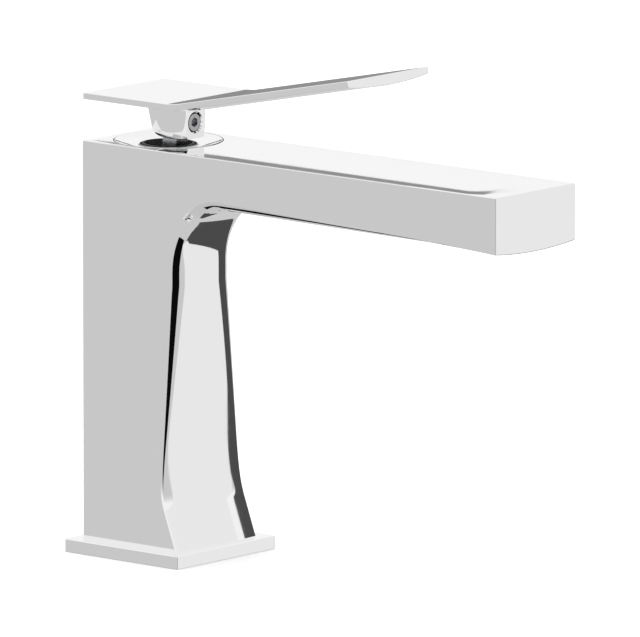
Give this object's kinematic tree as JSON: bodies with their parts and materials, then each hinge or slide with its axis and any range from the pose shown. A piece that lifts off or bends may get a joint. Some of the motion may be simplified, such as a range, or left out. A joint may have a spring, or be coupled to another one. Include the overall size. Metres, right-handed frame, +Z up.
{
  "type": "basin mixer faucet",
  "caption": "Single-lever basin mixer with an L-shaped square body, a flat paddle lever on a tapered hub and a square base plate.",
  "frame": {"origin": "where the column's axis meets the top of the deck, in the plane of the base plate's underside", "axes": "+Z up along the column's axis; -Y towards the spout's tip; +X to the cold side"},
  "size_m": [0.0514, 0.1896, 0.2314],
  "materials": {
    "chrome_body": "bright chrome plating on polished brass",
    "chrome_plate": "bright chrome plating on polished brass",
    "chrome_lever": "bright chrome plating on polished zinc",
    "steel": "turned or stamped stainless steel",
    "brass": "machined, unplated",
    "white_plastic": "moulded acetal",
    "grey_plastic": "moulded, dark grey",
    "rubber": "moulded black rubber",
    "ceramic": "lapped alumina"
  },
  "bodies": {
    "root": {"body_casting": "chrome_body", "base_plate": "chrome_plate", "base_seal": "rubber", "mounting_stud": "brass", "deck_washer_rubber": "rubber", "deck_washer_metal": "steel", "stud_nut": "brass", "cartridge_base": "white_plastic", "cartridge_housing": "white_plastic", "housing_oring": "rubber", "inlet_seal_hot": "rubber", "inlet_seal_cold": "rubber", "disc_seal_hot": "rubber", "disc_seal_cold": "rubber", "disc_seal_outlet": "rubber", "fixed_disc": "ceramic", "retaining_nut": "brass", "temperature_limit_ring": "grey_plastic", "cover_ring": "chrome_body", "aerator_housing": "chrome_plate", "aerator_insert": "white_plastic", "aerator_screen": "steel", "aerator_washer": "rubber"},
    "cartridge_guide": {"spindle_guide": "white_plastic", "spindle_pin": "steel"},
    "lever": {"lever_handle": "chrome_lever", "spindle": "steel", "grub_screw": "steel"},
    "moving_disc": {"moving_disc": "ceramic", "disc_carrier": "grey_plastic"}
  },
  "joints": [
    {"name": "temperature_swivel", "type": "hinge", "parent": "root", "child": "cartridge_guide", "pos_m": [0, 0, 0.126], "axis": [0, 0, 1], "range_deg": [-50, 50]},
    {"name": "lever_lift", "type": "hinge", "parent": "cartridge_guide", "child": "lever", "pos_m": [0, 0, 0.126], "axis": [-1, 0, 0], "range_deg": [0, 25]},
    {"name": "disc_slide", "type": "slide", "parent": "cartridge_guide", "child": "moving_disc", "axis": [0, -1, 0], "range_m": [0, 0.0043]}
  ],
  "couplings": [
    {"joint": "disc_slide", "follows": "lever_lift", "m_per_rad": 0.0095}
  ]
}
